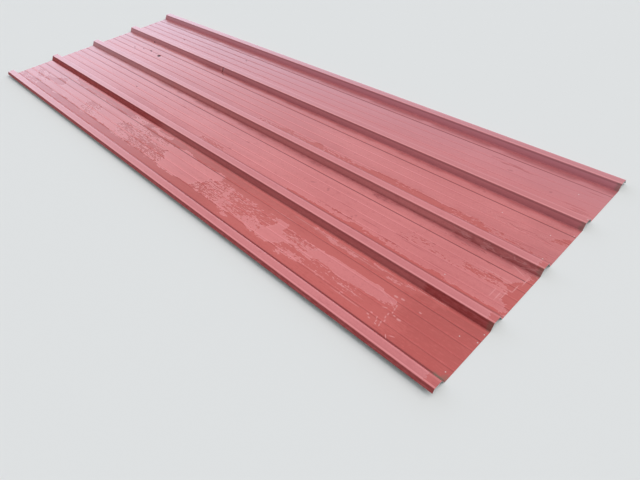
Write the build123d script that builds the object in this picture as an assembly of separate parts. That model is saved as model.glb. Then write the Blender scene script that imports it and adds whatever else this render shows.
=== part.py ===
"""Trapezoidal roofing sheet, roll-formed from one strip of coated steel.

+X runs along the sheet, +Y across it and +Z up. The origin lies under the middle of the sheet,
on the plane that its pans rest on. The ribs' sizes are those of the upper face.
"""

from build123d import *
import os

# The sheet as a whole, in millimetres
SHEET_LENGTH = 3000.0
SHEET_THICKNESS = 0.63
RIB_COUNT = 5
RIB_PITCH = 267.5

# One rib: a flat crown between two sloping webs
RIB_HEIGHT = 25.0
CROWN_WIDTH = 30.0
WEB_RUN = 15.0
BEND_RADIUS = 2.0

# The small stiffening beads that are rolled into each pan, evenly spaced
BEADS_PER_PAN = 4
BEAD_WIDTH = 6.0
BEAD_HEIGHT = 0.9
BEAD_RADIUS = 2.5

# The two long edges: the first rib's outer web is cut short, so that it laps over a neighbour,
# and the last rib's outer web stops just above the plane of the pans
OVERLAP_DROP = 12.5
UNDERLAP_CLEARANCE = 2.0

PAN_LEVEL = SHEET_THICKNESS
WEB_RISE = RIB_HEIGHT - PAN_LEVEL
PAN_WIDTH = RIB_PITCH - CROWN_WIDTH - 2 * WEB_RUN
BEAD_SPACING = PAN_WIDTH / (BEADS_PER_PAN + 1)


def web_end(crown_edge, outward, drop):
    """The cut edge of an outer web, at a drop under the crown, as a point of the upper face."""
    return (crown_edge + outward * drop * WEB_RUN / WEB_RISE, RIB_HEIGHT - drop)


def crown(start):
    """The two bends at the edges of a crown, each as a point and its inside bend radius."""
    return [((start, RIB_HEIGHT), BEND_RADIUS), ((start + CROWN_WIDTH, RIB_HEIGHT), BEND_RADIUS)]


def bead(middle):
    """The three bends of one bead: foot, top and foot."""
    half = BEAD_WIDTH / 2
    return [
        ((middle - half, PAN_LEVEL), BEAD_RADIUS),
        ((middle, PAN_LEVEL + BEAD_HEIGHT), BEAD_RADIUS),
        ((middle + half, PAN_LEVEL), BEAD_RADIUS),
    ]


def pan(start):
    """The bends of one pan: the foot of a web, the beads and the foot of the next web."""
    bends = [((start, PAN_LEVEL), BEND_RADIUS)]
    for number in range(1, BEADS_PER_PAN + 1):
        bends += bead(start + number * BEAD_SPACING)
    bends.append(((start + PAN_WIDTH, PAN_LEVEL), BEND_RADIUS))
    return bends


def section_bends():
    """All the bends of the section, from the overlapping rib to the underlapping one."""
    bends = []
    for number in range(RIB_COUNT):
        rib_start = number * RIB_PITCH
        bends += crown(rib_start)
        if number < RIB_COUNT - 1:
            bends += pan(rib_start + CROWN_WIDTH + WEB_RUN)
    return bends


def parallel_face(points, radii, depth):
    """Corners and bend radii of the face that lies a depth under the upper face.

    Each corner moves along the bisector of the two runs that meet there. An inside radius belongs
    to the hollow side of its bend, so the other side's radius is larger by the thickness.
    """
    corners = [Vector(*point) for point in points]
    runs = [(b - a).normalized() for a, b in zip(corners, corners[1:])]
    downs = [Vector(run.Y, -run.X) for run in runs]
    moved = [corners[0] + downs[0] * depth]
    face_radii = []
    for index, inside_radius in enumerate(radii):
        before = downs[index]
        after = downs[index + 1]
        moved.append(corners[index + 1] + (before + after) * (depth / (1 + before.dot(after))))
        turns_up = runs[index].cross(runs[index + 1]).Z > 0
        distance_inside = depth if turns_up else SHEET_THICKNESS - depth
        face_radii.append(inside_radius + distance_inside)
    moved.append(corners[-1] + downs[-1] * depth)
    return moved, face_radii


def sheet_section():
    """The section across the sheet, between its upper and its lower face."""
    bends = section_bends()
    last_crown_edge = (RIB_COUNT - 1) * RIB_PITCH + CROWN_WIDTH
    first_end = web_end(0, -1, OVERLAP_DROP)
    last_end = web_end(last_crown_edge, 1, WEB_RISE - UNDERLAP_CLEARANCE)
    points = [first_end] + [point for point, _ in bends] + [last_end]
    radii = [radius for _, radius in bends]
    upper, upper_radii = parallel_face(points, radii, 0)
    lower, lower_radii = parallel_face(points, radii, SHEET_THICKNESS)
    with BuildSketch(Plane.YZ) as section:
        with BuildLine():
            FilletPolyline(*upper, radius=upper_radii)
            FilletPolyline(*lower, radius=lower_radii)
            Line(upper[0], lower[0])
            Line(upper[-1], lower[-1])
        make_face()
    return section.sketch


def profiled_sheet():
    """The sheet, as long as it was cut and centred across its width."""
    section = sheet_section()
    middle = section.bounding_box().center()
    return Pos(-SHEET_LENGTH / 2, -middle.Y, 0) * extrude(section, amount=SHEET_LENGTH)


os.makedirs("parts", exist_ok=True)
export_step(profiled_sheet(), "parts/profiled_sheet.step")
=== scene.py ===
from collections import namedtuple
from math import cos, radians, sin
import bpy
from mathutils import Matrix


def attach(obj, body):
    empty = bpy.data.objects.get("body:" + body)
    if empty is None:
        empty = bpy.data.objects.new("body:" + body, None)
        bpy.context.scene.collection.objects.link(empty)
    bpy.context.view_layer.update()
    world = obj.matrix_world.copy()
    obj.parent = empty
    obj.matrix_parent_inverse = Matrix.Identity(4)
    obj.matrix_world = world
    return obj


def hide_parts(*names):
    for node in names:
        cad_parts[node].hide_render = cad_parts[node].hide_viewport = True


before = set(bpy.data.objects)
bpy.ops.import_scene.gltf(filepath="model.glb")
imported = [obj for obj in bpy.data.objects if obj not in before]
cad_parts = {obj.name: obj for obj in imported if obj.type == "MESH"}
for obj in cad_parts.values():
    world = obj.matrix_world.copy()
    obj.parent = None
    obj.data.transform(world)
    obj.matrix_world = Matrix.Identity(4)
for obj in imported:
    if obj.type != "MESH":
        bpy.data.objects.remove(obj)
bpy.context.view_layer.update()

# The looks of a trapezoidal roofing sheet: its rolled shape with the small unevenness of real
# sheet, and its red coil coating under a film of rain that has half dried.
# Sizes are written in millimetres, and made metres where Blender takes them. The near end is at
# +X, ribs and pans are counted from the -Y edge, and a rib's near web is the one towards it.

from types import SimpleNamespace

import bpy
import numpy as np
from mathutils import Quaternion, Vector

MM = 0.001

# The section, as the part's source has it
SHEET_LENGTH = 3000.0
SHEET_THICKNESS = 0.63
RIB_COUNT = 5
RIB_PITCH = 267.5
RIB_HEIGHT = 25.0
CROWN_WIDTH = 30.0
WEB_RUN = 15.0
BEND_RADIUS = 2.0
BEADS_PER_PAN = 4
BEAD_WIDTH = 6.0
BEAD_HEIGHT = 0.9
BEAD_RADIUS = 2.5
OVERLAP_DROP = 12.5
UNDERLAP_CLEARANCE = 2.0
WEB_RISE = RIB_HEIGHT - SHEET_THICKNESS
PAN_START = CROWN_WIDTH + WEB_RUN
PAN_WIDTH = RIB_PITCH - CROWN_WIDTH - 2 * WEB_RUN
BEAD_SPACING = PAN_WIDTH / (BEADS_PER_PAN + 1)
FIRST_CROWN = -553.04

# How finely the rolled surface is divided, across it and along it: a flat run has points just
# inside both of its bends, and the near part of the sheet is the finest
BEND_STEP = radians(20)
HOLDING_GAP = 0.5
FLAT_STEP = 13.0
SHORT_FLAT = 4.0
SHARP_ANGLE = radians(45)
NEAR_START = 450.0
NEAR_STEP = 13.5
MIDDLE_STEP = 25.0
FAR_STEP = 40.0


def section_corners():
    """Corners of the upper face across the sheet, and the inside radius of each bend between.

    Rib by rib from -Y: the two crown edges, then the pan with its beads, each a foot, a top and a
    foot. The two outer webs are cut off at their own drops under the crown.
    """
    slope = WEB_RUN / WEB_RISE
    crown = np.array([[0, RIB_HEIGHT], [CROWN_WIDTH, RIB_HEIGHT]])
    bead = np.array([[-BEAD_WIDTH / 2, 0], [0, BEAD_HEIGHT], [BEAD_WIDTH / 2, 0]])
    beads = [bead + [BEAD_SPACING * (number + 1), 0] for number in range(BEADS_PER_PAN)]
    pan = np.concatenate([[[0, 0]], *beads, [[PAN_WIDTH, 0]]]) + [PAN_START, SHEET_THICKNESS]
    rib_radii = [BEND_RADIUS] * 2
    pan_radii = [BEND_RADIUS] + [BEAD_RADIUS] * (3 * BEADS_PER_PAN) + [BEND_RADIUS]
    corners = [np.array([[-OVERLAP_DROP * slope, RIB_HEIGHT - OVERLAP_DROP]])]
    radii = []
    for rib in range(RIB_COUNT):
        corners.append(crown + [rib * RIB_PITCH, 0])
        radii += rib_radii
        if rib < RIB_COUNT - 1:
            corners.append(pan + [rib * RIB_PITCH, 0])
            radii += pan_radii
    last_edge = (RIB_COUNT - 1) * RIB_PITCH + CROWN_WIDTH
    last_drop = WEB_RISE - UNDERLAP_CLEARANCE
    corners.append(np.array([[last_edge + last_drop * slope, RIB_HEIGHT - last_drop]]))
    return np.concatenate(corners), np.array(radii)


def flat_fractions(length):
    """Where a flat run is divided: beside both of its bends, and evenly in between."""
    if length < SHORT_FLAT:
        return np.empty(0)
    gap = HOLDING_GAP / length
    return np.linspace(gap, 1 - gap, int(np.ceil(length / FLAT_STEP)) + 1)


def section_line():
    """Points of the upper face across the sheet and the unit normal at each.

    A bend of radius r starts r * tan(turn / 2) before its corner. At an angle a into the bend the
    point has gone r * sin(a) along the first run and r * (1 - cos(a)) to the side it turns to, and
    the normal has turned by a. The upper face is the outer one where the sheet turns down, and its
    radius is larger there by the thickness.
    """
    corners, inside_radii = section_corners()
    runs = np.diff(corners, axis=0)
    lengths = np.hypot(*runs.T)
    ahead = runs / lengths[:, None]
    left = np.stack([-ahead[:, 1], ahead[:, 0]], axis=1)
    turns = np.arctan2((left[:-1] * ahead[1:]).sum(1), (ahead[:-1] * ahead[1:]).sum(1))
    radii = inside_radii + np.where(turns < 0, SHEET_THICKNESS, 0)
    reach = radii * np.tan(np.abs(turns) / 2)
    starts = corners[1:-1] - ahead[:-1] * reach[:, None]
    ends = corners[1:-1] + ahead[1:] * reach[:, None]
    run_from = np.concatenate([corners[:1], ends])
    run_to = np.concatenate([starts, corners[-1:]])
    points = [corners[:1]]
    normals = [left[:1]]
    for index, turn in enumerate(turns):
        share = flat_fractions(np.hypot(*(run_to[index] - run_from[index])))[:, None]
        points.append(run_from[index] + (run_to[index] - run_from[index]) * share)
        normals.append(np.broadcast_to(left[index], points[-1].shape))
        angle = np.linspace(0, abs(turn), int(np.ceil(abs(turn) / BEND_STEP)) + 1)[:, None]
        side = left[index] * np.sign(turn)
        points.append(
            starts[index]
            + radii[index] * (np.sin(angle) * ahead[index] + (1 - np.cos(angle)) * side)
        )
        normals.append(np.cos(angle) * left[index] - np.sign(turn) * np.sin(angle) * ahead[index])
    share = flat_fractions(np.hypot(*(run_to[-1] - run_from[-1])))[:, None]
    points += [run_from[-1] + (run_to[-1] - run_from[-1]) * share, corners[-1:]]
    normals += [np.broadcast_to(left[-1], points[-2].shape), left[-1:]]
    points = np.concatenate(points)
    normals = np.concatenate(normals)
    both_faces = np.concatenate([points, points - normals * SHEET_THICKNESS])
    points[:, 0] -= (both_faces[:, 0].min() + both_faces[:, 0].max()) / 2
    return points, normals


# The crimp in the near web of the fourth rib, where the sheet was once knocked
CRIMP_X = -474.0
CRIMP_WIDTH = 4.5
CRIMP_DEPTH = 3.2
CRIMP_LEAN = 3.0
CRIMP_RIB = 3
CRIMP_STEP = 4.0
CRIMP_REACH = 24.0


def stations():
    """Where the section is set along the sheet: closest at the crimp, close in the near half."""
    half = SHEET_LENGTH / 2
    spans = [
        (-half, CRIMP_X - CRIMP_REACH, FAR_STEP),
        (CRIMP_X - CRIMP_REACH, CRIMP_X + CRIMP_REACH, CRIMP_STEP),
        (CRIMP_X + CRIMP_REACH, NEAR_START, MIDDLE_STEP),
        (NEAR_START, half, NEAR_STEP),
    ]
    marks = [np.linspace(a, b, int(np.ceil((b - a) / step)) + 1) for a, b, step in spans]
    return np.unique(np.concatenate(marks))


def window(value, start, end, fade):
    """1 between the limits and 0 outside, by the product of two smooth steps over the fade."""
    rise = np.clip((value - start) / fade + 0.5, 0, 1)
    fall = np.clip((end - value) / fade + 0.5, 0, 1)
    return rise ** 2 * (3 - 2 * rise) * fall ** 2 * (3 - 2 * fall)


def pan_share(y):
    """0 to 1 across each pan, 0 or 1 on the ribs."""
    across = np.mod(y - FIRST_CROWN, RIB_PITCH)
    return np.clip((across - PAN_START) / PAN_WIDTH, 0, 1)


# Real rolled sheet doesn't lie quite flat: its pans lift a little between the ribs
LIFT = 0.45
LIFT_WAVES = ((610.0, 0.4, 0.9), (370.0, 1.9, 2.3), (940.0, 0.2, 1.1))


def lift(x, y):
    """How far the pans stand proud: a half wave across each pan times slow waves along it.

    The slow waves are the mean of the squared sines of pi * (x / length + shift) plus
    skew * y / pitch, for the length, shift and skew of each wave.
    """
    slow = sum(
        np.sin(np.pi * (x / length + shift) + y / RIB_PITCH * skew) ** 2
        for length, shift, skew in LIFT_WAVES
    )
    return LIFT * slow / len(LIFT_WAVES) * np.sin(np.pi * pan_share(y)) ** 2


def crimp(x, y, z):
    """The depth of the crimp: e to the minus squared distance from a line that leans down the web.

    It is deepest half way down, fades as the square root of 4 * down * (1 - down), and is never
    deeper than the room that is left under the sheet.
    """
    web_top = FIRST_CROWN + CRIMP_RIB * RIB_PITCH
    down = np.clip((RIB_HEIGHT - z) / WEB_RISE, 0, 1)
    depth = CRIMP_DEPTH * np.sqrt(4 * down * (1 - down))
    depth = np.minimum(depth, np.maximum(z - SHEET_THICKNESS, 0))
    on_web = (y > web_top - WEB_RUN) & (y < web_top)
    return depth * np.exp(-(((x - CRIMP_X - CRIMP_LEAN * down) / CRIMP_WIDTH) ** 2)) * on_web


# Where rain still lies on the coating, and where it has dried. The level is above 0 on wet ground
# and below 0 on dry, and a patch adds its own amount between its limits, faded over its edges.
Patch = namedtuple("Patch", "start end low high amount fade_along fade_across")

PAN_LEVELS = (1.8, -2.0, -2.1, -2.2)
CROWN_LEVEL = -2.3
WEB_LEVEL = -2.6

FILM_PATCHES = (
    # First pan, near end: deep water, then dry islands with crumbs and strokes between them
    Patch(1255, 1600, -520, -295, 1.4, 50, 20),
    Patch(928, 1190, -420, -373, -3.6, 44, 5),
    Patch(1180, 1255, -410, -384, -1.9, 30, 9),
    Patch(742, 932, -436, -374, -1.55, 30, 8),
    Patch(690, 757, -470, -366, -3.0, 26, 8),
    Patch(694, 806, -474, -424, -1.2, 30, 9),
    Patch(590, 694, -470, -425, -0.5, 44, 9),
    Patch(806, 884, -480, -448, -2.1, 24, 8),
    Patch(440, 694, -472, -362, -1.65, 44, 10),
    Patch(880, 1150, -474, -420, -1.25, 60, 9),
    Patch(1190, 1310, -505, -352, -0.9, 50, 20),
    Patch(745, 945, -314, -305, -2.2, 60, 3),
    Patch(890, 1215, -327, -316, -2.2, 70, 3),
    Patch(700, 1180, -326, -304, -0.35, 80, 6),
    Patch(1195, 1375, -313, -303, -1.9, 50, 4),
    Patch(490, 534, -493, -479, -3.0, 14, 7),
    # First pan, middle and far end
    Patch(24, 258, -470, -341, -3.9, 26, 6),
    Patch(-40, 352, -376, -342, -3.4, 34, 7),
    Patch(305, 360, -346, -330, -2.8, 22, 6),
    Patch(250, 450, -468, -358, -1.7, 44, 9),
    Patch(-290, 34, -474, -346, -1.6, 44, 10),
    Patch(-180, 24, -386, -344, -0.8, 50, 9),
    Patch(-450, -285, -470, -306, -1.9, 60, 9),
    Patch(-232, -94, -333, -313, -3.6, 30, 6),
    Patch(-1700, -440, -466, -340, -3.6, 120, 8),
    Patch(-1700, -1060, -342, -290, -2.9, 260, 8),
    Patch(-1700, -1250, -520, -466, -1.6, 300, 10),
    Patch(-1440, -1190, -455, -384, 1.8, 60, 14),
    Patch(-1240, -1110, -415, -350, 2.6, 60, 12),
    Patch(-790, -610, -462, -378, 1.75, 60, 14),
    # Second pan
    Patch(590, 1475, -244, -219, 2.9, 30, 5),
    Patch(890, 1060, -222, -211, 2.2, 60, 6),
    Patch(-10, 160, -242, -207, 2.3, 60, 8),
    Patch(160, 600, -246, -231, 1.9, 90, 5),
    Patch(-520, -360, -242, -229, 1.7, 60, 5),
    Patch(715, 895, -207, -198, 2.1, 30, 4),
    Patch(1020, 1110, -204, -196, 2.1, 26, 4),
    Patch(1070, 1180, -160, -112, 0.85, 60, 12),
    Patch(1280, 1455, -148, -113, 1.7, 70, 10),
    Patch(1170, 1300, -160, -146, 1.5, 60, 6),
    Patch(1468, 1600, -222, -36, 2.6, 14, 18),
    Patch(620, 1560, -58, -38, 1.15, 260, 8),
    Patch(480, 1560, -190, -80, 0.6, 240, 30),
    # Third pan
    Patch(735, 1090, 30, 71, 2.9, 40, 7),
    Patch(1060, 1280, 32, 72, 2.5, 40, 8),
    Patch(450, 760, 30, 64, 2.5, 80, 9),
    Patch(225, 480, 30, 67, 2.6, 60, 9),
    Patch(40, 250, 30, 56, 2.0, 90, 8),
    Patch(1270, 1500, 34, 66, 1.65, 70, 9),
    Patch(1478, 1600, 134, 178, 2.6, 12, 14),
    Patch(1180, 1500, 100, 142, 1.3, 90, 12),
    # Fourth pan
    Patch(1090, 1560, 300, 480, 0.5, 120, 30),
    # Near ends of the first three crowns
    Patch(1462, 1600, -560, -519, 4.2, 44, 8),
    Patch(1472, 1600, -292, -250, 4.0, 30, 8),
    Patch(1474, 1600, -24, 16, 4.0, 30, 8),
)

# Where the coating is only damp, and a little deeper in colour, and where shade is painted in the
# same way at the feet of the ribs and just behind them
DAMP_AND_SHADE_PATCHES = (
    # Near webs of the first two ribs
    Patch(-1600, 1600, -568, -552, 0.95, 40, 3),
    Patch(-1600, -240, -301, -285, 0.75, 160, 3),
    Patch(-1600, 1600, -301, -285, 0.5, 40, 3),
    Patch(1277, 1600, -301, -285, 0.5, 5, 3),
    # Feet of the other ribs: painted shade, the pan's reflection of the dark web
    Patch(-1600, 1900, -45, -31, 0.55, 40, 5),
    Patch(-700, 1900, -46, -31, 0.5, 500, 5),
    Patch(-1600, 1900, 222, 240, 0.42, 40, 6),
    Patch(-700, 1900, 221, 240, 0.34, 500, 6),
    Patch(-700, 400, 214, 236, 0.42, 300, 8),
    Patch(-1600, 1900, 473, 507, 0.8, 40, 7),
    Patch(-900, 1900, 473, 507, 0.25, 400, 7),
    Patch(-450, 550, 464, 500, 0.15, 300, 8),
    # Pans: painted shade just behind the ribs and before the third rib's foot, and damp towards the
    # near end
    Patch(-900, 500, -240, -196, 0.16, 200, 16),
    Patch(-900, 350, 24, 64, 0.22, 200, 14),
    Patch(-1700, -433, -508, -467, 0.12, 120, 8),
    Patch(-800, -100, -238, -212, 0.36, 200, 18),
    Patch(500, 1600, -240, -90, 0.18, 400, 60),
    Patch(150, 1600, -64, -45, 0.3, 300, 10),
    Patch(300, 1600, 24, 90, 0.2, 300, 30),
    Patch(1380, 1600, 24, 240, 0.2, 60, 60),
)

# The borders of the patches wander in waves, each with its size and its lengths along and across
Wave = namedtuple("Wave", "size along across")
WANDER_ALONG = (Wave(17, 71, 23), Wave(11, -31, 13), Wave(8, 17, -29))
WANDER_ACROSS = (Wave(3.6, 58, 41), Wave(2.6, -27, 19), Wave(1.7, 13.5, 31))
# They do so in full a little way in from a pan's edges, and not at all on the ribs
WANDER_RISE = 4


def wander(x, y, waves):
    """The sum of the waves: each is its size times the sine of x / along + y / across."""
    return sum(wave.size * np.sin(x / wave.along + y / wave.across) for wave in waves)


def level_of(x, y, ground, patches):
    """The ground's level plus each patch's amount, times its windows along and across.

    Places wander before they are compared with the limits, but only in the pans.
    """
    free = np.clip(WANDER_RISE * np.sin(np.pi * pan_share(y)), 0, 1)
    level = np.zeros_like(x * y) + ground
    moved_x = x + wander(x, y, WANDER_ALONG) * free
    moved_y = y + wander(x, y, WANDER_ACROSS) * free
    for patch in patches:
        along = window(moved_x, patch.start, patch.end, patch.fade_along)
        level += patch.amount * along * window(moved_y, patch.low, patch.high, patch.fade_across)
    return level


def film_ground(y):
    """The rain's level without its patches: each pan's own, the crowns' and the near webs'.

    A crown's other web has the level of the pan that it runs down to.
    """
    across = np.mod(y - FIRST_CROWN, RIB_PITCH)
    pan = np.clip((y - FIRST_CROWN) // RIB_PITCH, 0, len(PAN_LEVELS) - 1).astype(int)
    ground = np.where(across < CROWN_WIDTH, CROWN_LEVEL, np.array(PAN_LEVELS)[pan])
    on_web = (across > RIB_PITCH - WEB_RUN) | (y < FIRST_CROWN)
    return np.where(on_web, WEB_LEVEL, ground)


# The finishes, in the order of the sheet's material slots, and the attributes that they read
UPPER, LOWER, CUT = 0, 1, 2
FILM = "rain_film"
# The level of damp, and of the shade painted in the same way at and behind the ribs' feet
DAMP_AND_SHADE = "damp_and_shade"


def sheet_piece():
    """The whole sheet as one closed skin.

    The section's upper points, then its lower ones in the other direction, make one loop, which is
    carried along the stations. Lower points lie one thickness under the upper along the normal.
    Each upper point moves along its normal by the lift minus the crimp, and its lower one with it.
    """
    line, normals = section_line()
    x = stations()[:, None]
    y, z = line[None, :, 0], line[None, :, 1]
    move = lift(x, y) - crimp(x, y, z)
    film = level_of(x, y, film_ground(y), FILM_PATCHES)
    damp_and_shade = np.clip(level_of(x, y, 0, DAMP_AND_SHADE_PATCHES), 0, 1)
    faces = []
    for depth in (0, SHEET_THICKNESS):
        face = np.empty(move.shape + (3,))
        face[..., 0] = x
        face[..., 1] = y + normals[None, :, 0] * (move - depth)
        face[..., 2] = z + normals[None, :, 1] * (move - depth)
        faces.append(face)
    skin = np.concatenate([faces[0], faces[1][:, ::-1]], axis=1)
    rows, around = skin.shape[:2]
    across = around // 2
    index = np.arange(rows * around).reshape(rows, around)
    turned = np.roll(index, -1, axis=1)
    walls = np.stack([index[:-1], index[1:], turned[1:], turned[:-1]], axis=-1)
    kinds = np.full(walls.shape[:2], UPPER)
    kinds[:, across:] = LOWER
    kinds[:, across - 1] = CUT
    kinds[:, -1] = CUT
    caps = []
    for row, order in ((0, slice(None)), (-1, slice(None, None, -1))):
        upper = index[row, :across]
        lower = index[row, : across - 1 : -1]
        caps.append(np.stack([upper[:-1], upper[1:], lower[1:], lower[:-1]], axis=-1)[:, order])
    quads = np.concatenate([walls.reshape(-1, 4), *caps])
    kinds = np.concatenate([kinds.ravel(), np.full(2 * (across - 1), CUT)])
    mesh = bpy.data.meshes.new("profiled_steel_sheet")
    mesh.from_pydata(skin.reshape(-1, 3) * MM, [], quads)
    mesh.polygons.foreach_set("material_index", kinds)
    mesh.polygons.foreach_set("use_smooth", np.ones(len(quads), dtype=bool))
    for name, level in ((FILM, film), (DAMP_AND_SHADE, damp_and_shade)):
        stored = mesh.attributes.new(name, "FLOAT", "POINT")
        stored.data.foreach_set("value", np.concatenate([level, level[:, ::-1]], axis=1).ravel())
    mesh.update()
    mesh.set_sharp_from_angle(angle=SHARP_ANGLE)
    sheet = bpy.data.objects.new("profiled_steel_sheet", mesh)
    bpy.context.collection.objects.link(sheet)
    return sheet


# Limits in a formula: a band with faded borders, and a ramp that rises from 0 to 1
Band = namedtuple("Band", "start end fade")
Ramp = namedtuple("Ramp", "low high")


class Value:
    """A node's output in a formula: each operator adds the Math node that works it out."""

    def __init__(self, finish, output):
        self.finish = finish
        self.output = output

    def maths(self, operation, *values):
        """The result of a Math node on values or numbers."""
        sockets = dict(enumerate(values))
        return self.finish.node("Math", {"operation": operation}, sockets)

    def __add__(self, other):
        return self.maths("ADD", self, other)

    def __sub__(self, other):
        return self.maths("SUBTRACT", self, other)

    def __mul__(self, other):
        return self.maths("MULTIPLY", self, other)

    def __radd__(self, other):
        return self.maths("ADD", other, self)

    def __rsub__(self, other):
        return self.maths("SUBTRACT", other, self)

    def __rmul__(self, other):
        return self.maths("MULTIPLY", other, self)

    def __abs__(self):
        return self.maths("ABSOLUTE", self)

    def __mod__(self, other):
        return self.maths("FLOORED_MODULO", self, other)

    def at_least(self, other):
        return self.maths("MAXIMUM", self, other)

    def at_most(self, other):
        return self.maths("MINIMUM", self, other)


class Nodes:
    """A tree of nodes, and the formulas that fill it."""

    def __init__(self, tree):
        self.tree = tree
        self.tree.nodes.clear()

    def node(self, kind, settings, sockets, output=0):
        """One node: its settings, then the value or link of each of its sockets."""
        made = self.tree.nodes.new("ShaderNode" + kind)
        for name, setting in settings.items():
            setattr(made, name, setting)
        for key, value in sockets.items():
            if isinstance(value, Value):
                self.tree.links.new(value.output, made.inputs[key])
            else:
                made.inputs[key].default_value = value
        return Value(self, made.outputs[output] if made.outputs else None)

    def axes(self, places):
        """The three parts of a place or direction."""
        return [self.node("SeparateXYZ", {}, {0: places}, output=axis) for axis in range(3)]

    def step(self, value, ramp):
        """0 below the ramp and 1 above it, smooth in between."""
        sockets = {0: value, 1: ramp.low, 2: ramp.high, 3: 0.0, 4: 1.0}
        return self.node("MapRange", {"interpolation_type": "SMOOTHSTEP"}, sockets)

    def between(self, value, band):
        """1 inside the band and 0 outside, smooth over its fade."""
        half = band.fade / 2
        rise = self.step(value, Ramp(band.start - half, band.start + half))
        return rise * (1 - self.step(value, Ramp(band.end - half, band.end + half)))

    def vectors(self, operation, first, second, output=0):
        """The result of a Vector Math node on two vectors."""
        return self.node("VectorMath", {"operation": operation}, {0: first, 1: second}, output)

    def scaled(self, colour, factor):
        """A colour times a number."""
        return self.node("VectorMath", {"operation": "SCALE"}, {0: colour, "Scale": factor})

    def mix(self, first, second, share):
        """One colour turning into another by a share from 0 to 1."""
        settings = {"data_type": "RGBA", "clamp_factor": True}
        return self.node("Mix", settings, {0: share, 6: first, 7: second}, output=2)


# A grain: its waves in a metre of x, y and z, how many finer ones it adds, and how strongly
Grain = namedtuple("Grain", "per_metre detail roughness", defaults=(3.0, 0.5))
NOISE_MIDDLE = 0.5


class Finish(Nodes):
    """A material on the sheet, or on the floor."""

    def __init__(self, name):
        self.material = bpy.data.materials.new(name)
        self.material.use_nodes = True
        super().__init__(self.material.node_tree)
        self.places = self.node("TexCoord", {}, {}, output="Object")

    def grain(self, kind):
        """Noise around 0, from about -0.5 to 0.5."""
        sockets = {
            "Vector": self.vectors("MULTIPLY", self.places, kind.per_metre),
            "Scale": 1.0,
            "Detail": kind.detail,
            "Roughness": kind.roughness,
        }
        return self.node("TexNoise", {}, sockets) - NOISE_MIDDLE

    def relief(self, height, strength, depth):
        """The bumps of a height from 0 to 1, with their full depth in millimetres."""
        sockets = {"Strength": strength, "Distance": depth * MM, "Height": height}
        return self.node("Bump", {}, sockets)

    def shaded(self, sockets):
        """Joins the finish's shader to its output."""
        shader = self.node("BsdfPrincipled", {}, sockets)
        self.node("OutputMaterial", {}, {"Surface": shader})
        return self.material


# Small marks on the coating that share a shape: half its length and width, its turn in degrees,
# how strong it is, and its places along and across the sheet
Marks = namedtuple("Marks", "half_length half_width turn strength places")

BLACK_SPECKS = (
    Marks(13, 9, 0, 1.0, ((-979, 140),)),
    Marks(9, 5, -10, 0.9, ((-1087, 151),)),
    Marks(
        8, 3.6, -5, 0.6,
        ((-480, 408), (-1061, 371), (-721, -152), (-1190, 235), (-1235, 120), (-1160, 140)),
    ),
)
# The dark line down the crimp's crease and its tail on the pan: painted shade in the crease
CRIMP_SHADE = (
    Marks(3.4, 9, 0, 1.0, ((-473, 242),)),
    Marks(25, 2.6, -21, 0.9, ((-455, 225),)),
)
STAINS = (
    Marks(10, 3.4, 15, 0.5, ((633, -137), (203, -119), (180, -200), (1157, 386), (40, 462))),
    Marks(
        5, 4, 0, 0.5,
        ((893, -177), (885, -192), (713, -137), (709, -130), (1330, 358), (1155, 216), (1480, 301)),
    ),
)
DASHES = (
    Marks(18, 2.2, 0, 0.6, ((-481, -117), (-303, -117), (1117, 412), (157, 460))),
    Marks(
        46, 1.5, 0, 0.5,
        (
            (1165, 415), (755, -199), (860, -203), (1060, -200), (830, -158), (960, -176),
            (1130, -166), (1250, -193), (560, 457), (1425, 336),
        ),
    ),
    Marks(
        28, 1.5, 0, 0.6,
        (
            (1447, 324), (1462, 318), (1436, 312), (1450, 440), (1080, -158), (-820, 396),
            (1150, 424), (1172, 419), (1085, 430), (1215, 412),
        ),
    ),
    Marks(34, 1.4, 8, 0.55, ((1373, 126), (1290, 134), (1385, 60))),
    Marks(34, 1.4, -10, 0.55, ((1330, 120), (1440, 118), (1400, 44), (1345, -78))),
)
PALE_STROKES = (
    Marks(
        62, 1.5, 0, 0.55,
        (
            (700, -342), (820, -402), (980, -462), (1100, -445), (1120, -474), (1400, -106),
            (790, -318), (905, -321), (1010, -316), (1070, -325),
        ),
    ),
    Marks(30, 1.4, 0, 0.65, ((1335, -304), (1280, -307), (1150, -312))),
    Marks(26, 1.3, -14, 0.6, ((1195, -384),)),
    Marks(18, 1.3, -32, 0.6, ((1240, -400),)),
    Marks(7, 1.5, -45, 0.9, ((1300, -500),)),
    Marks(8, 1.5, 22, 0.8, ((1313, -489), (1234, -424))),
    Marks(
        2.2, 4.6, 20, 0.75,
        (
            (1256, -399), (1259, -411), (1262, -424), (1256, -436), (1257, -450), (1264, -461),
            (1259, -472), (1262, -483), (1240, -467), (1246, -477),
        ),
    ),
    Marks(
        4.6, 2.2, -10, 0.75,
        ((1273, -430), (1217, -463), (1212, -474), (1223, -482), (1250, -486), (1321, -373)),
    ),
    Marks(1.7, 20, 0, 0.7, ((1428, -174), (1446, -176), (1458, -165), (1470, -120), (1478, -75))),
    Marks(28, 1.4, -22, 0.6, ((1440, -50),)),
    # The last of these, beside the crimp, is a painted highlight on the crimp's lit side
    Marks(
        7, 3.2, 0, 0.85,
        ((1253, -367), (1232, -371), (1291, -433), (-487, 243)),
    ),
)
# Painted glints of light on small drops of water
DROPLET_GLINTS = (
    Marks(
        1.9, 1.9, 0, 0.65,
        (
            (1285, -205), (1493, -318), (1484, -482), (1436, 152), (1492, 196), (1447, -366),
            (1494, -352), (1496, 268), (1408, 404), (1262, 156), (1468, 42),
        ),
    ),
)
GRIME = (
    Marks(19, 5, 0, 1.0, ((1478, -506),)),
    Marks(9, 9, 0, 0.6, ((1494, -498), (1494, -292), (1494, -26), (1494, 240), (1494, 508))),
)

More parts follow.
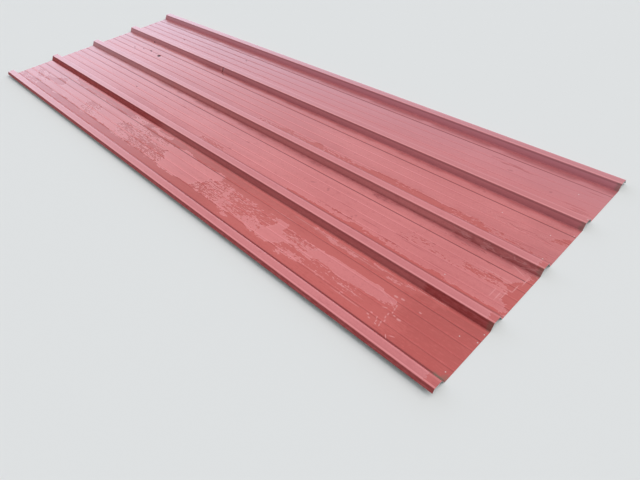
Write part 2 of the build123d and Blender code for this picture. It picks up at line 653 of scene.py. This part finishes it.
# The coating's colours
DRY_PALE = (0.69, 0.190, 0.190, 1)
DRY_DEEP = (0.58, 0.136, 0.138, 1)
WET_BRIGHT = (0.560, 0.104, 0.094, 1)
WET_DEEP = (0.480, 0.074, 0.066, 1)
DAMP_COLOUR = (0.40, 0.050, 0.050, 1)
# Painted shade at the ribs' feet, where the pan reflects the dark web
FOOT_SHADE_COLOUR = (0.37, 0.075, 0.080, 1)
RIM_COLOUR = (0.72, 0.27, 0.27, 1)
# Painted highlights, on the beads and on both edges of each crown
HIGHLIGHT_COLOUR = (0.85, 0.30, 0.31, 1)
# A pale haze, and a painted sheen of the sky on the last near webs
HAZE_AND_SHEEN_COLOUR = (0.52, 0.20, 0.25, 1)
# The dark lines: painted shade before the beads, in the crimp and at the foot of a near web,
# painted shade and grime behind the first ribs, and a line at the top of the near webs
LINE_COLOUR = (0.22, 0.018, 0.018, 1)
STAIN_COLOUR = (0.30, 0.028, 0.030, 1)
SPECK_COLOUR = (0.010, 0.006, 0.006, 1)
# Painted glints on drops of water
DROPLET_GLINT_COLOUR = (0.75, 0.66, 0.64, 1)
GRIME_COLOUR = (0.16, 0.13, 0.09, 1)

# The marks that are painted together: their colour, how ragged and how soft their borders are,
# and how much of the colour shows
Layer = namedtuple("Layer", "kinds colour ragged soft share")
# The layers hold real marks, with painted shade in the crimp, a painted highlight beside it and
# painted glints on drops of water
MARK_LAYERS = (
    Layer(PALE_STROKES, RIM_COLOUR, ragged=1.2, soft=0.35, share=1.0),
    Layer(STAINS, STAIN_COLOUR, ragged=2.4, soft=0.5, share=0.8),
    Layer(DASHES, DAMP_COLOUR, ragged=1.2, soft=0.5, share=1.3),
    Layer(CRIMP_SHADE, LINE_COLOUR, ragged=0.48, soft=0.3, share=1.0),
    Layer(GRIME, GRIME_COLOUR, ragged=2.4, soft=0.7, share=0.7),
    Layer(DROPLET_GLINTS, DROPLET_GLINT_COLOUR, ragged=0.0, soft=0.3, share=1.0),
)
SPECK_LAYER = Layer(BLACK_SPECKS, SPECK_COLOUR, ragged=0.6, soft=0.2, share=1.0)

# The grains of the film's torn border
ISLANDS = Grain((5.0, 16.0, 16.0))
STREAKS = Grain((20.0, 250.0, 250.0), 3.0, 0.6)
CRUMBS = Grain((64.0, 150.0, 150.0), 3.0, 0.6)
BLOTCHES = Grain((14.0, 34.0, 34.0), 2.0)
# The grains of the coating itself
CLOUD = Grain((2.2, 9.0, 9.0))
ROLLING = Grain((0.5, 380.0, 380.0), 2.0)
DRAWING = Grain((1.1, 75.0, 75.0))
DUST = Grain((170.0, 170.0, 170.0), 2.0)
MOTTLE = Grain((26.0, 60.0, 60.0), 4.0, 0.65)
VEINS = Grain((16.0, 60.0, 60.0), 2.0)

# Where the far part and the coarse part end along the sheet, where the first pan's film is
# broken up, and where that pan ends across the sheet
FAR_PART = Ramp(-900, 300)
COARSE_PART = Ramp(-950, -450)
BROKEN_PART = Band(-520, 420, 200)
FIRST_PAN_END = Ramp(-290, -230)

# How much each grain tears the film's border, and how much less the fine ones do so in a calm
# stretch of the first pan and in the coarse part, where the blotches come in
TEAR = SimpleNamespace(islands=2.0, streaks=3.6, crumbs=4.3, blotches=3.6, calm=0.75, coarse=0.5)
CALM_ALONG = Band(900, 1280, 80)
CALM_ACROSS = Band(-392, -355, 10)
# The film's levels: wet, deep, and the pale rim that has dried just outside the wet ground
WET = Ramp(-0.12, 0.12)
DEEP = Ramp(1.2, 3.6)
RIM_LEVEL = -0.24
RIM_REACH = Ramp(0.0, 0.22)

# Bands across one pitch, from the near edge of a crown: a bead's band ends half way to the next
WEB_FOOT = RIB_PITCH - WEB_RUN
IN_PAN = Band(PAN_START + BEND_RADIUS, WEB_FOOT - BEND_RADIUS, 4)
SECOND_BEAD = Band(PAN_START + BEAD_SPACING * 1.5, PAN_START + BEAD_SPACING * 2.5, 2)
LAST_BEAD = Band(WEB_FOOT - BEAD_SPACING * 1.5, WEB_FOOT - BEAD_SPACING / 2, 2)
# Bands from the foot of a near web, up the web and over the crown
WEB_TOP = Band(WEB_RUN - 4.0, WEB_RUN - 1.0, 1.6)
DAMP_WEB = Band(-2, WEB_RUN - 1, 1)
CROWN = Band(WEB_RUN, WEB_RUN + CROWN_WIDTH, 2)
CROWN_NEAR_EDGE = Band(WEB_RUN + 0.3, WEB_RUN + 6.0, 1.6)
CROWN_BACK_EDGE = Band(WEB_RUN + CROWN_WIDTH - 6.0, WEB_RUN + CROWN_WIDTH - 1.0, 2.0)
# Bands before the foot of a near web, below 0 on the web itself
NEAR_WEB = Band(-WEB_RUN, 0.5, 1.5)
WEB_BOTTOM = Band(-4.0, -0.5, 2)
BEFORE_WEB = Band(-0.5, 12, 6)
# Bands across a bead, from its middle
BEFORE_BEAD = Band(-3.6, -0.8, 1.4)
BEAD_TOP = Band(-1.4, 1.4, 1.2)
BEHIND_BEAD = Band(-0.5, 4.0, 1.0)

# The dark line before each bead is painted shade on its near slope: its share at least, in the far
# part, at the last bead of a pan and less there where it is wet, on wet ground, and how much
# less at the second bead of a pan
BEAD_SHADE_LINE = SimpleNamespace(least=0.03, far=0.42, last=1.2, last_wet=0.95, wet=0.2, second=0.8)
# The light line on each bead is a painted highlight: its share, and how much less it is at the
# near end and in the last pan. The drawn grain makes both lines uneven.
BEAD_HIGHLIGHT = SimpleNamespace(most=0.6, near_end=0.7, last_pan=0.6)
LESS_LIGHT_ALONG = Ramp(850, 1250)
LESS_LIGHT_ACROSS = Ramp(240, 300)
LINES_UNEVEN = 2.4
SECOND_BEAD_UP_TO = Ramp(-30, 30)

# A dark line behind each of the first three ribs, where the crown's back edge hides the pan:
# painted shade there, with dirt gathered at the foot. Its place, half its width and its strength.
# It is full within half of that and gone a little past it, and thinner at the far end.
DIRT_AND_SHADE_LINES = ((-507.5, 4.8, 1.0), (-233.6, 3.2, 0.6), (38.7, 2.6, 0.4))
DIRT_AND_SHADE_FULL = 0.5
DIRT_AND_SHADE_GONE = 1.2
DIRT_AND_SHADE_PART = Ramp(-500, 700)
DIRT_AND_SHADE_SHARE = SimpleNamespace(least=0.25, near=0.75)

# How deep the dry coating's tone is, from 0 to 1: its middle and the share of each grain, less in
# the broken part and in a pale stretch, and more towards the near end on the crowns, from the
# third pan on, in the last pan, and in the mottle
DRY = SimpleNamespace(middle=0.5, cloud=1.3, rolling=0.4, drawing=1.0, dust=1.1)
DRY_PARTS = SimpleNamespace(
    broken=0.25, crown_per_mm=0.0002, pale=0.3, third_pan=0.4, last_pan=0.15, mottle=0.6
)
PALE_ALONG = Band(420, 1180, 400)
THIRD_PAN_ACROSS = Ramp(-30, 60)
THIRD_PAN_ALONG = Ramp(-1000, -300)
LAST_PAN_ACROSS = Ramp(200, 330)
MOTTLED = Ramp(0.06, 0.2)
# How deep the wet coating's tone is, besides the depth of the film
WET_TONE = SimpleNamespace(cloud=0.9, streaks=0.12, dust=0.3, broken=0.7, far=0.45)
# How much of the rim's and of the damp and shaded colour shows, and from where across the sheet
# that colour is the painted shade of the feet
RIM_SHARE = SimpleNamespace(least=0.65, broken=0.3)
DAMP_AND_SHADE_SHARE = 0.8
DAMP_AND_SHADE_UNEVEN = 1.6
FEET_FROM = Ramp(-60, -50)

# A pale bluish haze: towards the last rib and less on damp and shaded ground, on the crowns, and on
# the near webs of the last two ribs, where it is a painted sheen of the sky
HAZE_AND_SHEEN = SimpleNamespace(most=0.4, damp_and_shade=0.25, crowns=0.15, webs=0.3)
HAZE_ACROSS = Ramp(150, 560)
WEB_SHEEN_ACROSS = Ramp(60, 300)
# Painted light: how much brighter the strip before a near web is painted, against the shade at the
# web's foot: at least, in the first pan, in its far part and where that is wet. Then how much
# brighter the near webs of the fourth rib and, on top of that, of the fifth are painted.
LIT_STRIP = SimpleNamespace(least=0.05, first_pan=0.17, far=0.12, far_wet=0.08)
FOURTH_WEB_SHARE = 0.13
FOURTH_WEB = Ramp(60, 230)
FIFTH_WEB_SHARE = 0.17
FIFTH_WEB = Ramp(250, 500)

# The dried swirls: damp mottle and pale veins
SWIRLS_ALONG = Band(1190, 1600, 60)
SWIRLS_ACROSS = Band(-33.5, -18.5, 2)
SWIRL_MOTTLE = Ramp(-0.1, 0.1)
SWIRL_VEIN = Ramp(0.0, 0.05)
SWIRL_SHARE = SimpleNamespace(mottle=0.5, veins=0.7)

# A painted highlight on the two edges of a crown, and dark lines at the top and the bottom of a
# near web, the bottom one painted shade where the web meets the pan
CROWN_EDGE_HIGHLIGHT = SimpleNamespace(near_edge=0.5, back_edge=0.22)
WEB_LINES = SimpleNamespace(top=0.35, bottom=0.3)

# How rough the coating is, how much clear gloss lies on it, and how far it is dulled behind the
# beads
ROUGHNESS = SimpleNamespace(dry=0.34, dust=0.12, wet=0.2, wet_far=0.1, specks=0.8, dulled=0.5)
GLOSS = SimpleNamespace(dry=0.9, wet=0.1, wet_far=0.38, damp_and_shade=0.5)
GLOSS_ROUGHNESS = 0.12
DULLED = SimpleNamespace(dry=0.6, wet=0.35)
COATING_IOR = 1.5
# The relief of the grains, how much of it the film fills, and how proud the film stands
RELIEF = SimpleNamespace(rolling=0.4, drawing=0.3, dust=0.3, filled=0.8, film=0.5)
RELIEF_STRENGTH = 0.25
RELIEF_DEPTH = 0.4


class RedCoating(Finish):
    """Red coil coating, pale and dull where it is dry and deep and shiny under the film of rain."""

    def __init__(self):
        super().__init__("red_coil_coating")
        in_millimetres = self.vectors("MULTIPLY", self.places, (1 / MM,) * 3)
        self.x, self.y = self.axes(in_millimetres)[:2]
        self.damp_and_shade = self.stored(DAMP_AND_SHADE)
        self.streaks, self.crumbs = self.grain(STREAKS), self.grain(CRUMBS)
        self.far = 1 - self.step(self.x, FAR_PART)
        self.first_pan = 1 - self.step(self.y, FIRST_PAN_END)
        torn = self.torn_film()
        self.wet = self.step(torn, WET)
        self.deep = self.step(torn, DEEP)
        self.rim = 1 - self.step(abs(torn - RIM_LEVEL), RIM_REACH)

        self.cloud, self.rolling = self.grain(CLOUD), self.grain(ROLLING)
        self.drawing, self.dust = self.grain(DRAWING), self.grain(DUST)
        self.mottle = self.grain(MOTTLE)

        # Across one pitch from a crown's near edge, and across one bead's spacing from the bead
        self.across = (self.y - FIRST_CROWN) % RIB_PITCH
        half = BEAD_SPACING / 2
        self.from_bead = (self.across - PAN_START + half) % BEAD_SPACING - half
        # Before the foot of the next near web, and from the foot of the last one
        self.to_web = WEB_FOOT - self.across
        self.from_web = (self.across + WEB_RUN) % RIB_PITCH

        self.in_pan = self.between(self.across, IN_PAN)
        self.on_crown = self.between(self.from_web, CROWN)
        self.on_near_web = self.between(self.to_web, NEAR_WEB)
        self.broken = self.first_pan * self.in_pan * self.between(self.x, BROKEN_PART)

    def stored(self, name):
        """A level that the mesh keeps at its points."""
        return self.node("Attribute", {"attribute_name": name}, {}, output="Fac")

    def torn_film(self):
        """The film's level, with its border torn by the grains."""
        calm = self.between(self.x, CALM_ALONG) * self.between(self.y, CALM_ACROSS)
        coarse = 1 - self.step(self.x, COARSE_PART)
        fine = self.streaks * TEAR.streaks + self.crumbs * TEAR.crumbs
        fine = fine * (1 - calm * TEAR.calm) * (1 - coarse * TEAR.coarse)
        torn = self.stored(FILM) + self.grain(ISLANDS) * TEAR.islands + fine
        return torn + self.grain(BLOTCHES) * coarse * TEAR.blotches

    def bead_shade_and_highlight(self):
        """The painted shade before each bead, and the painted highlight on it where it is dry."""
        second = self.between(self.across, SECOND_BEAD)
        second = second * (1 - self.step(self.y, SECOND_BEAD_UP_TO))
        last = self.between(self.across, LAST_BEAD)
        uneven = 1 + self.drawing * LINES_UNEVEN
        share = (
            BEAD_SHADE_LINE.least
            + self.far * BEAD_SHADE_LINE.far
            + last * (BEAD_SHADE_LINE.last - self.wet * BEAD_SHADE_LINE.last_wet)
            + self.wet * BEAD_SHADE_LINE.wet
        )
        dark = self.between(self.from_bead, BEFORE_BEAD) * self.in_pan * share * uneven
        dark = dark * (1 - second * BEAD_SHADE_LINE.second)
        light = self.between(self.from_bead, BEAD_TOP) * self.in_pan * (1 - last)
        light = light * (1 - self.far * (1 - second)) * (1 - self.wet) * BEAD_HIGHLIGHT.most * uneven
        light = light * (1 - self.step(self.x, LESS_LIGHT_ALONG) * BEAD_HIGHLIGHT.near_end)
        return dark, light * (1 - self.step(self.y, LESS_LIGHT_ACROSS) * BEAD_HIGHLIGHT.last_pan)

    def dirt_and_shade(self):
        """Painted shade and grime behind the first three ribs, the strongest line at each place."""
        strongest = 0
        for place, half, strength in DIRT_AND_SHADE_LINES:
            away = self.step(abs(self.y - place), Ramp(half * DIRT_AND_SHADE_FULL, half * DIRT_AND_SHADE_GONE))
            strongest = ((1 - away) * strength).at_least(strongest)
        near = self.step(self.x, DIRT_AND_SHADE_PART)
        return strongest * (DIRT_AND_SHADE_SHARE.least + near * DIRT_AND_SHADE_SHARE.near)

    def film_colour(self):
        """The colour of dry and wet coating, of the film's rim, and of dampness and painted shade.
        """
        tone = (
            DRY.middle
            + self.cloud * DRY.cloud
            + self.rolling * DRY.rolling
            + self.drawing * DRY.drawing
            + self.dust * DRY.dust
            - self.broken * DRY_PARTS.broken
            + self.on_crown * self.x * DRY_PARTS.crown_per_mm
            - self.between(self.x, PALE_ALONG) * DRY_PARTS.pale
        )
        third_pan_on = self.step(self.y, THIRD_PAN_ACROSS) * self.step(self.x, THIRD_PAN_ALONG)
        tone = tone + third_pan_on * DRY_PARTS.third_pan
        tone = tone + self.step(self.y, LAST_PAN_ACROSS) * DRY_PARTS.last_pan
        tone = tone + self.step(self.mottle, MOTTLED) * DRY_PARTS.mottle
        wet_tone = (
            self.deep
            + self.cloud * WET_TONE.cloud
            + self.streaks * WET_TONE.streaks
            + self.dust * WET_TONE.dust
            + self.broken * WET_TONE.broken
            + self.far * WET_TONE.far
        )
        colour = self.mix(DRY_PALE, DRY_DEEP, tone)
        colour = self.mix(colour, self.mix(WET_BRIGHT, WET_DEEP, wet_tone), self.wet)
        rim = self.rim * (RIM_SHARE.least + self.broken * RIM_SHARE.broken)
        colour = self.mix(colour, RIM_COLOUR, rim * (1 - self.damp_and_shade))
        # Damp, and painted shade at the ribs' feet and just behind them
        damp_and_shade_colour = self.mix(DAMP_COLOUR, FOOT_SHADE_COLOUR, self.step(self.y, FEET_FROM))
        damp_and_shade = self.damp_and_shade + (self.streaks + self.crumbs) * self.damp_and_shade * DAMP_AND_SHADE_UNEVEN
        return self.mix(colour, damp_and_shade_colour, damp_and_shade * DAMP_AND_SHADE_SHARE)

    def hazed_and_sheened(self, colour):
        """The colour with the pale haze on it, and a painted sheen on the last near webs."""
        haze = self.step(self.y, HAZE_ACROSS) * (HAZE_AND_SHEEN.most - self.damp_and_shade * HAZE_AND_SHEEN.damp_and_shade)
        haze = haze.at_least(self.on_crown * HAZE_AND_SHEEN.crowns)
        web_sheen = self.on_near_web * self.step(self.y, WEB_SHEEN_ACROSS) * HAZE_AND_SHEEN.webs
        return self.mix(colour, HAZE_AND_SHEEN_COLOUR, haze + web_sheen)

    def painted_lighter(self, colour):
        """Painted light: brighter before the near webs and on those of the last two ribs."""
        share = LIT_STRIP.first_pan + self.far * (LIT_STRIP.far + self.wet * LIT_STRIP.far_wet)
        share = LIT_STRIP.least + self.first_pan * share
        webs = self.step(self.y, FOURTH_WEB) * FOURTH_WEB_SHARE
        webs = webs + self.step(self.y, FIFTH_WEB) * FIFTH_WEB_SHARE
        brighter = 1 + self.between(self.to_web, BEFORE_WEB) * share + self.on_near_web * webs
        return self.scaled(colour, brighter)

    def swirled(self, colour):
        """The colour with dried swirls on the third rib's near web, close to the near end."""
        here = self.between(self.x, SWIRLS_ALONG) * self.between(self.y, SWIRLS_ACROSS)
        mottle = self.step(self.mottle, SWIRL_MOTTLE) * here
        veins = (1 - self.step(abs(self.grain(VEINS)), SWIRL_VEIN)) * here
        colour = self.mix(colour, DAMP_COLOUR, mottle * SWIRL_SHARE.mottle)
        return self.mix(colour, RIM_COLOUR, veins * SWIRL_SHARE.veins)

    def inside(self, layer):
        """1 inside the ellipses of a layer of marks, with ragged borders, and 0 elsewhere.

        For each shape the places are turned back and divided by its half sizes, which makes its
        ellipses circles of radius 1.
        """
        ragged = self.crumbs * layer.ragged
        border = Ramp(1 - layer.soft, 1 + layer.soft)
        inside = 0
        for kind in layer.kinds:
            turn = radians(kind.turn)
            size = (kind.half_length * MM, kind.half_width * MM, 1)
            sockets = {"Vector": self.places, "Rotation": (0, 0, turn), "Scale": size}
            turned = self.node("Mapping", {"vector_type": "TEXTURE"}, sockets)
            away = border.high
            for x, y in kind.places:
                along = (x * cos(turn) + y * sin(turn)) / kind.half_length
                across = (y * cos(turn) - x * sin(turn)) / kind.half_width
                distance = self.vectors("DISTANCE", turned, (along, across, 0), output="Value")
                away = (distance + ragged).at_most(away)
            inside = ((1 - self.step(away, border)) * kind.strength).at_least(inside)
        return inside

    def finished(self):
        """The material, with all its colours, its gloss and its relief."""
        # Painted shade before each bead and a painted highlight on it
        dark, light = self.bead_shade_and_highlight()
        # Painted shade and dirt behind the first three ribs
        dirt_and_shade = self.dirt_and_shade()
        # Painted highlights on both edges of each crown
        edge_highlight = self.between(self.from_web, CROWN_NEAR_EDGE) * CROWN_EDGE_HIGHLIGHT.near_edge
        edge_highlight = edge_highlight + self.between(self.from_web, CROWN_BACK_EDGE) * CROWN_EDGE_HIGHLIGHT.back_edge
        lines = dark + dirt_and_shade + self.between(self.from_web, WEB_TOP) * WEB_LINES.top
        # Painted shade at the bottom of the second rib's near web, where it meets the first pan
        bottom = self.between(self.to_web, WEB_BOTTOM) * self.first_pan
        lines = lines + bottom * WEB_LINES.bottom

        colour = self.swirled(self.painted_lighter(self.hazed_and_sheened(self.film_colour())))
        colour = self.mix(colour, HIGHLIGHT_COLOUR, light)
        colour = self.mix(colour, HIGHLIGHT_COLOUR, edge_highlight)
        colour = self.mix(colour, LINE_COLOUR, lines)
        for layer in MARK_LAYERS:
            colour = self.mix(colour, layer.colour, self.inside(layer) * layer.share)
        specks = self.inside(SPECK_LAYER) * SPECK_LAYER.share
        colour = self.mix(colour, SPECK_LAYER.colour, specks)

        behind_bead = self.between(self.from_bead, BEHIND_BEAD) * self.in_pan
        dulled = dirt_and_shade + behind_bead * (DULLED.dry + self.wet * DULLED.wet)
        dulled = (dulled + self.between(self.from_web, DAMP_WEB) * self.damp_and_shade).at_most(1)
        roughness = (
            ROUGHNESS.dry
            + self.dust * ROUGHNESS.dust
            - self.wet * (ROUGHNESS.wet - self.far * ROUGHNESS.wet_far)
            + specks * ROUGHNESS.specks
            + dulled * ROUGHNESS.dulled
        )
        gloss = GLOSS.dry + self.wet * (GLOSS.wet - self.far * GLOSS.wet_far)
        gloss = (gloss - self.damp_and_shade * GLOSS.damp_and_shade) * (1 - specks) * (1 - dulled)
        height = (
            self.rolling * RELIEF.rolling
            + self.drawing * RELIEF.drawing
            + self.dust * RELIEF.dust
        )
        height = height * (1 - self.wet * RELIEF.filled) + self.wet * RELIEF.film
        return self.shaded(
            {
                "Base Color": colour,
                "Roughness": roughness,
                "IOR": COATING_IOR,
                "Coat Weight": gloss,
                "Coat Roughness": GLOSS_ROUGHNESS,
                "Normal": self.relief(height, RELIEF_STRENGTH, RELIEF_DEPTH),
            }
        )


BACKING_PALE = (0.62, 0.62, 0.60, 1)
BACKING_DEEP = (0.50, 0.50, 0.49, 1)
BACKING_CLOUD = Grain((3.0, 12.0, 12.0))
BACKING_ROLLING = Grain((0.8, 380.0, 380.0), 2.0)
BACKING_TONE = SimpleNamespace(middle=0.5, rolling=0.6)
BACKING_ROUGHNESS = SimpleNamespace(middle=0.5, cloud=0.2)
BACKING_RELIEF_STRENGTH = 0.2
BACKING_RELIEF_DEPTH = 0.3


def backing_coat():
    """The thin grey coat on the underside."""
    coat = Finish("grey_backing_coat")
    cloud, rolling = coat.grain(BACKING_CLOUD), coat.grain(BACKING_ROLLING)
    tone = BACKING_TONE.middle + cloud + rolling * BACKING_TONE.rolling
    sockets = {
        "Base Color": coat.mix(BACKING_PALE, BACKING_DEEP, tone),
        "Roughness": BACKING_ROUGHNESS.middle + cloud * BACKING_ROUGHNESS.cloud,
        "Normal": coat.relief(rolling, BACKING_RELIEF_STRENGTH, BACKING_RELIEF_DEPTH),
    }
    return coat.shaded(sockets)


STEEL_PALE = (0.55, 0.56, 0.57, 1)
STEEL_DEEP = (0.30, 0.30, 0.31, 1)
SHEAR_LINES = Grain((600.0, 600.0, 90.0))
STEEL_TONE = SimpleNamespace(middle=0.5, drawn=1.5)
STEEL_ROUGHNESS = SimpleNamespace(middle=0.42, drawn=0.3)
STEEL_METALLIC = 0.8


def cut_steel():
    """The sheared edge: bright zinc and steel with the drawn lines of the cut."""
    steel = Finish("cut_steel_edge")
    drawn = steel.grain(SHEAR_LINES)
    sockets = {
        "Base Color": steel.mix(
            STEEL_PALE, STEEL_DEEP, STEEL_TONE.middle + drawn * STEEL_TONE.drawn
        ),
        "Roughness": STEEL_ROUGHNESS.middle + drawn * STEEL_ROUGHNESS.drawn,
        "Metallic": STEEL_METALLIC,
    }
    return steel.shaded(sockets)


# The floor's half size is in metres
FLOOR_HALF = 30.0
FLOOR_COLOUR = (0.74, 0.74, 0.73, 1)
FLOOR_ROUGHNESS = 0.9
FLOOR_SHINE = 0.1


def studio_floor():
    """The floor that the sheet lies on, with its shadow."""
    mesh = bpy.data.meshes.new("studio_floor")
    signs = ((-1, -1), (1, -1), (1, 1), (-1, 1))
    corners = [(a * FLOOR_HALF, b * FLOOR_HALF, 0) for a, b in signs]
    mesh.from_pydata(corners, [], [(0, 1, 2, 3)])
    floor = bpy.data.objects.new("studio_floor", mesh)
    bpy.context.collection.objects.link(floor)
    paint = Finish("studio_floor")
    sockets = {
        "Base Color": FLOOR_COLOUR,
        "Roughness": FLOOR_ROUGHNESS,
        "Specular IOR Level": FLOOR_SHINE,
    }
    mesh.materials.append(paint.shaded(sockets))
    return floor


# The world's light: even, with a glow low down past the far end at +Y, and shade low down at -Y
SKY_COLOUR = (0.53, 0.55, 0.56)
GLOW_COLOUR = (0.94, 1.14, 1.50)
GLOW_TOWARDS = (-0.87, 0.50, 0.0)
GLOW_FACING = Ramp(0.42, 0.85)
GLOW_HEIGHT = Ramp(0.20, 0.60)
SHADE_DEPTH = 0.45
SHADE_SIDE = Ramp(-0.45, -0.1)
SHADE_HEIGHT = Ramp(0.35, 0.8)
# The lamp: its strength, its spread in degrees, and where it stands from the sheet
LAMP_STRENGTH = 1.75
LAMP_SPREAD = 50
LAMP_FROM = (0.35, 0.66, 1.0)


def studio_light():
    """A soft lamp overhead and a pale world, whose colour is (sky + glow) * (1 - shade)."""
    lamp = bpy.data.objects.new("soft_lamp", bpy.data.lights.new("soft_lamp", "SUN"))
    lamp.data.energy = LAMP_STRENGTH
    lamp.data.angle = radians(LAMP_SPREAD)
    lamp.rotation_mode = "QUATERNION"
    lamp.rotation_quaternion = Vector(LAMP_FROM).to_track_quat("Z", "Y")
    bpy.context.collection.objects.link(lamp)
    world = bpy.data.worlds.new("pale_world")
    bpy.context.scene.world = world
    world.use_nodes = True
    sky = Nodes(world.node_tree)
    direction = sky.node("TexCoord", {}, {}, output="Generated")
    side, height = sky.axes(direction)[1:]
    facing = sky.vectors("DOT_PRODUCT", direction, GLOW_TOWARDS, output="Value")
    glow = (1 - sky.step(height, GLOW_HEIGHT)) * sky.step(facing, GLOW_FACING)
    shade = (1 - sky.step(side, SHADE_SIDE)) * (1 - sky.step(height, SHADE_HEIGHT))
    light = sky.vectors("ADD", sky.scaled(GLOW_COLOUR, glow), SKY_COLOUR)
    light = sky.scaled(light, 1 - shade * SHADE_DEPTH)
    shader = sky.node("Background", {}, {"Color": light, "Strength": 1.0})
    sky.node("OutputWorld", {}, {"Surface": shader})


# The camera, in metres and degrees, with its lens and its sensor's width in millimetres
CAMERA_PLACE = (1.82620, -1.13587, 1.14228)
CAMERA_AIM = (0.88543, -0.34741, 0.0)
CAMERA_ROLL = -6.3985
CAMERA_LENS = 28.096
CAMERA_SENSOR = 36.0


def camera():
    """A hand-held picture from beside the sheet's near end."""
    view = bpy.data.objects.new("camera", bpy.data.cameras.new("camera"))
    view.data.lens = CAMERA_LENS
    view.data.sensor_width = CAMERA_SENSOR
    view.data.sensor_fit = "HORIZONTAL"
    view.location = CAMERA_PLACE
    view.rotation_mode = "QUATERNION"
    back = Vector(CAMERA_PLACE) - Vector(CAMERA_AIM)
    turned = Quaternion((0, 0, 1), radians(CAMERA_ROLL))
    view.rotation_quaternion = back.to_track_quat("Z", "Y") @ turned
    bpy.context.collection.objects.link(view)
    bpy.context.scene.camera = view


camera()
studio_light()
studio_floor()

sheet = sheet_piece()
for finish in (RedCoating().finished(), backing_coat(), cut_steel()):
    sheet.data.materials.append(finish)
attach(sheet, "root")
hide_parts("profiled_sheet")

bpy.context.scene.view_settings.view_transform = "Standard"
